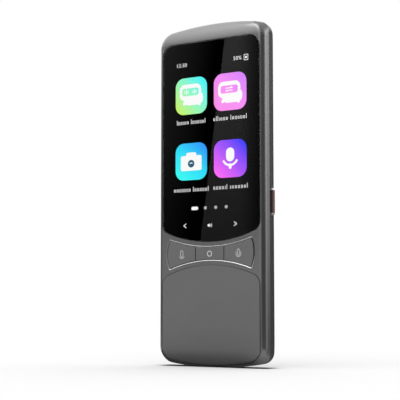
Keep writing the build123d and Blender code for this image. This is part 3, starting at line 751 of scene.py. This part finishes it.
def outerWall(bm):
    # the upright faces joined to the one furthest to the right
    walls = {face for face in bm.faces if abs(face.normal.y) < keyLine["upright"]}
    found = [max(walls, key=lambda face: face.calc_center_median().x)]
    walls.remove(found[0])
    for face in found:
        beside = {other for edge in face.edges for other in edge.link_faces} & walls
        found.extend(beside)
        walls -= beside
    bm.verts.index_update()
    return BVHTree.FromPolygons([vert.co for vert in bm.verts],
                                [[vert.index for vert in face.verts] for face in found])


def addKeyLine():
    # the bright line round the keys, its front sloping from the outer wall in towards the keys
    bm = bmesh.new()
    bm.from_mesh(nodes["key_trim"].data)
    bmesh.ops.remove_doubles(bm, verts=bm.verts, dist=meshTogether)
    wall = outerWall(bm)
    foot = min(vert.co.z for vert in bm.verts)
    height = max(vert.co.z for vert in bm.verts) - foot
    low, high = keyLine["slope"]
    for vert in bm.verts:
        if vert.co.y < keyLine["front"] * mm:
            away = vert.co - wall.find_nearest(vert.co)[0]
            across = math.hypot(away.x, away.z)
            up = (vert.co.z - foot) / height
            turned = share(abs(away.x) / across, *keyLine["turned"]) if across else 0
            raised = share(up, *keyLine["rightRaised" if vert.co.x > 0 else "leftRaised"])
            slope = low + (high - low) * up + keyLine["side"] * turned * raised
            vert.co.y = min(vert.co.y + across * slope, keyLine["deepest"] * mm)
    bm.normal_update()
    for face in bm.faces:
        face.smooth = True
    for edge in bm.edges:
        edge.smooth = edge.calc_face_angle(0) < keyLine["crease"]
    line = addPiece("keyLine", bm, chrome)
    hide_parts("key_trim")


addKeyLine()
print("key line done")


view = {
    "azimuth": 32.4, "elevation": -5.28, "place": (244.7, -398.35, 24.95),
    "lens": 102.37, "sensor": 36, "near": 0.01,
}


def addCamera():
    data = bpy.data.cameras.new("mainCamera")
    data.lens = view["lens"]
    data.sensor_width = view["sensor"]
    data.clip_start = view["near"]
    camera = bpy.data.objects.new("mainCamera", data)
    camera.location = Vector(view["place"]) * mm
    tilt = math.radians(90 - view["elevation"])
    camera.rotation_euler = (tilt, 0, math.radians(view["azimuth"]))
    scene.collection.objects.link(camera)
    scene.camera = camera


# floor, floorLift: the paper's whiteness and own light as seen. bounce: its whiteness for bounced light.
# ambient: the surroundings' light. clear: where the paper fades into plain white, in metres from the
# middle. foot: half the patch under the object where a shadow is painted on the paper, in metres, with how
# the painted shadow fades and how dark it gets.
studio = {
    "paper": 8, "floor": 0.92, "floorLift": 0.085, "bounce": 0.45, "ambient": 0.9, "clear": (0.2, 0.7),
    "foot": (0.0268, 0.005), "footShadowEdge": (0.86, 1.08), "footShadowDepth": 0.05,
}


def seenDirectly(owner):
    # 1 for straight, glossy and transmission rays, which see the white studio, 0 for diffuse ones
    path = addNode(owner, "ShaderNodeLightPath")
    shiny = combine(owner, "MAXIMUM", path.outputs["Is Glossy Ray"], path.outputs["Is Transmission Ray"])
    return combine(owner, "MAXIMUM", path.outputs["Is Camera Ray"], shiny)


def addStage(name, bm, material):
    mesh = bpy.data.meshes.new(name)
    bm.to_mesh(mesh)
    bm.free()
    mesh.materials.append(material)
    stage = bpy.data.objects.new(name, mesh)
    scene.collection.objects.link(stage)
    return stage


def paintedFootShadow(owner, x, y):
    # painted shadow: the paper's colour falls to a deep shade on the patch that the foot covers
    wide = combine(owner, "DIVIDE", combine(owner, "ABSOLUTE", x), studio["foot"][0])
    deep = combine(owner, "DIVIDE", combine(owner, "ABSOLUTE", y), studio["foot"][1])
    out = combine(owner, "MAXIMUM", wide, deep)
    return ramp(owner, out, *studio["footShadowEdge"], studio["footShadowDepth"], 1.0, smooth=True)


def addFloor():
    # white paper that keeps the object's shadow near it, with a shadow painted under the foot, and runs out
    # into plain white
    bm = bmesh.new()
    bmesh.ops.create_grid(bm, x_segments=1, y_segments=1, size=studio["paper"])
    paper = newMaterial("floorPaper", (1, 1, 1, 1), 0.9)
    shader = principled(paper)
    shader.inputs["Specular IOR Level"].default_value = 0.0
    shader.inputs["Emission Color"].default_value = (1, 1, 1, 1)
    seen = seenDirectly(paper)
    x, y, z = objectXYZ(paper)
    faded = ramp(paper, fromMiddle(paper, x, y), *studio["clear"], smooth=True)
    clear = combine(paper, "MULTIPLY", seen, faded)
    level = combine(paper, "MULTIPLY", ramp(paper, seen, 0, 1, studio["bounce"], studio["floor"]),
                    combine(paper, "SUBTRACT", 1.0, clear))
    # painted shadow under the foot, which darkens both the paper's colour and its own light
    paintedShadow = paintedFootShadow(paper, x, y)
    wire(paper, combine(paper, "MULTIPLY", level, paintedShadow), shader.inputs["Base Color"])
    lift = combine(paper, "MULTIPLY", seen, ramp(paper, clear, 0, 1, studio["floorLift"], 1.0))
    wire(paper, combine(paper, "MULTIPLY", lift, paintedShadow), shader.inputs["Emission Strength"])
    addStage("floor", bm, paper)


def addWorld():
    world = bpy.data.worlds.new("studio")
    scene.world = world
    world.use_nodes = True
    background = world.node_tree.nodes["Background"]
    background.inputs["Color"].default_value = (1, 1, 1, 1)
    strength = ramp(world, seenDirectly(world), 0, 1, studio["ambient"], 1.0)
    wire(world, strength, background.inputs["Strength"])


topLamp = {"place": (0.0, -0.1, 1.1), "aim": (0, 0, 0.1), "size": 1.4, "power": 2.0}


def addTopLamp():
    # a soft light from above, not seen in reflections
    data = bpy.data.lights.new("topLamp", "AREA")
    data.shape = "SQUARE"
    data.size = topLamp["size"]
    data.energy = topLamp["power"]
    lamp = bpy.data.objects.new("topLamp", data)
    lamp.location = topLamp["place"]
    aim = Vector(topLamp["aim"]) - lamp.location
    lamp.rotation_euler = aim.to_track_quat("-Z", "Y").to_euler()
    lamp.visible_camera = False
    lamp.visible_glossy = False
    scene.collection.objects.link(lamp)


def lightOnly(name):
    # an emitting material, its strength still to be wired
    material = bpy.data.materials.new(name)
    material.use_nodes = True
    tree = material.node_tree
    tree.nodes.remove(tree.nodes["Principled BSDF"])
    light = addNode(material, "ShaderNodeEmission")
    wire(material, light.outputs["Emission"], tree.nodes["Material Output"].inputs["Surface"])
    return material, light.inputs["Strength"]


def reflectionOnly(screen):
    screen.visible_camera = False
    screen.visible_diffuse = False
    screen.visible_shadow = False
    screen.visible_transmission = False
    screen.visible_volume_scatter = False


# The softboxes and flags round the object, which only reflections see. Each fades in between its first two
# numbers and out between its last two, in degrees: turn from the front towards the right, rise from the
# level of the object's middle. A later one covers an earlier one.
tent = {"radius": 0.9, "foot": 0.0004, "top": 1.5, "middle": 0.07, "plain": 1.08, "segments": 96}
allRound = (-190, -185, 185, 190)
tentBands = {
    "rightFlag": {"turn": (0, 26, 84, 122), "rise": (-70, -50, 8, 66), "level": 0.14},
    "backFlag": {"turn": (110, 140, 181, 182), "rise": (-80, -60, 18, 30), "level": 0.06},
    "leftFlag": {"turn": (-182, -181, -66, -48), "rise": (-20, -10, 18, 30), "level": 0.25},
    "sideStrip": {"turn": (82, 130, 145, 147), "rise": (-13, 21, 30, 50), "level": 3.1},
    "frontBox": {"turn": (-150, -110, -8, 20), "rise": (4, 42, 64, 76), "level": 2.7},
    "roofBox": {"turn": allRound, "rise": (66, 80, 95, 96), "level": 1.6},
    "cornerBox": {"turn": (-58, -14, 6, 26), "rise": (36, 54, 66, 84), "level": 6.0},
    "footFlag": {"turn": allRound, "rise": (-92, -91, -58, -40), "level": 0.15},
    "footBox": {"turn": (2, 32, 84, 110), "rise": (-76, -66, -56, -34), "level": 1.1},
}


def addTent():
    bm = bmesh.new()
    bmesh.ops.create_cone(bm, cap_ends=True, segments=tent["segments"], radius1=tent["radius"],
                          radius2=tent["radius"], depth=tent["top"] - tent["foot"])
    bmesh.ops.translate(bm, vec=(0, 0, (tent["top"] + tent["foot"]) / 2), verts=bm.verts)
    bmesh.ops.reverse_faces(bm, faces=bm.faces)
    material, strength = lightOnly("tentLight")
    x, y, z = objectXYZ(material)
    front = combine(material, "MULTIPLY", y, -1.0)
    turn = combine(material, "DEGREES", combine(material, "ARCTAN2", x, front))
    height = combine(material, "SUBTRACT", z, tent["middle"])
    rise = combine(material, "DEGREES", combine(material, "ARCTAN2", height, fromMiddle(material, x, y)))
    total = tent["plain"]
    for band in tentBands.values():
        mask = 1.0
        for value, (start, full, until, gone) in ((turn, band["turn"]), (rise, band["rise"])):
            opening = ramp(material, value, start, full, smooth=True)
            closing = ramp(material, value, until, gone, 1.0, 0.0, smooth=True)
            mask = combine(material, "MULTIPLY", mask, combine(material, "MULTIPLY", opening, closing))
        change = combine(material, "SUBTRACT", band["level"], total)
        total = combine(material, "MULTIPLY_ADD", mask, change, total)
    wire(material, total, strength)
    reflectionOnly(addStage("tent", bm, material))


# A slanted card that crosses the reflection in the glass: brighter right of its edge, darker left of it
glassCard = {
    "y": -600, "x": (-490, -290), "z": (89, 350),
    "edgeLow": (-381.9, 90.7), "edgeHigh": (-352.3, 299.2),
    "right": (0.22, 0.59), "left": (0.11, 0.35), "leftFade": (-90, -10),
    "rightFade": (-340, -308), "rightEnd": 0.2, "soft": 0.5,
}


def addGlassCard():
    look = glassCard
    bm = bmesh.new()
    bmesh.ops.create_grid(bm, x_segments=1, y_segments=1, size=0.5)
    wide, tall = (high - low for low, high in (look["x"], look["z"]))
    bmesh.ops.scale(bm, vec=(wide * mm, tall * mm, 1), verts=bm.verts)
    bmesh.ops.rotate(bm, cent=(0, 0, 0), matrix=Matrix.Rotation(math.radians(90), 3, "X"), verts=bm.verts)
    centre = Vector((sum(look["x"]) / 2, look["y"], sum(look["z"]) / 2))
    bmesh.ops.translate(bm, vec=centre * mm, verts=bm.verts)
    material, strength = lightOnly("glassCardLight")
    x, y, z = objectXYZ(material)
    (lowX, lowZ), (highX, highZ) = look["edgeLow"], look["edgeHigh"]  # two points of the slanted edge
    lean = (highX - lowX) / (highZ - lowZ)
    edge = combine(material, "MULTIPLY_ADD", z, lean, (lowX - lean * lowZ) * mm)
    past = combine(material, "SUBTRACT", x, edge)
    step = ramp(material, past, -look["soft"] * mm, look["soft"] * mm)
    right = ramp(material, z, lowZ * mm, highZ * mm, *look["right"])
    farEnd = ramp(material, x, *(v * mm for v in look["rightFade"]), 1.0, look["rightEnd"], smooth=True)
    right = combine(material, "MULTIPLY", right, farEnd)
    left = ramp(material, z, lowZ * mm, highZ * mm, *look["left"])
    nearEnd = ramp(material, past, *(v * mm for v in look["leftFade"]), 1.0, 0.0)
    left = combine(material, "MULTIPLY", left, nearEnd)
    change = combine(material, "SUBTRACT", right, left)
    wire(material, combine(material, "MULTIPLY_ADD", step, change, left), strength)
    reflectionOnly(addStage("glassCard", bm, material))


# A small card close to the top right corner, which the sloping border mirrors as a soft bright patch
cornerCard = {"place": (10.5, -20.0, 157.5), "aim": (20.5, -4.0, 137.5), "radius": 5.0, "level": 7.0}


def addCornerCard():
    bm = bmesh.new()
    bmesh.ops.create_circle(bm, cap_ends=True, segments=32, radius=cornerCard["radius"] * mm)
    place = Vector(cornerCard["place"])
    facing = (Vector(cornerCard["aim"]) - place).to_track_quat("Z", "Y").to_matrix().to_4x4()
    bmesh.ops.transform(bm, matrix=Matrix.Translation(place * mm) @ facing, verts=bm.verts)
    material, strength = lightOnly("cornerCardLight")
    strength.default_value = cornerCard["level"]
    reflectionOnly(addStage("cornerCard", bm, material))


scene.view_settings.view_transform = "Standard"
addCamera()
addFloor()
addWorld()
addTent()
addGlassCard()
addCornerCard()
addTopLamp()
print("studio done")
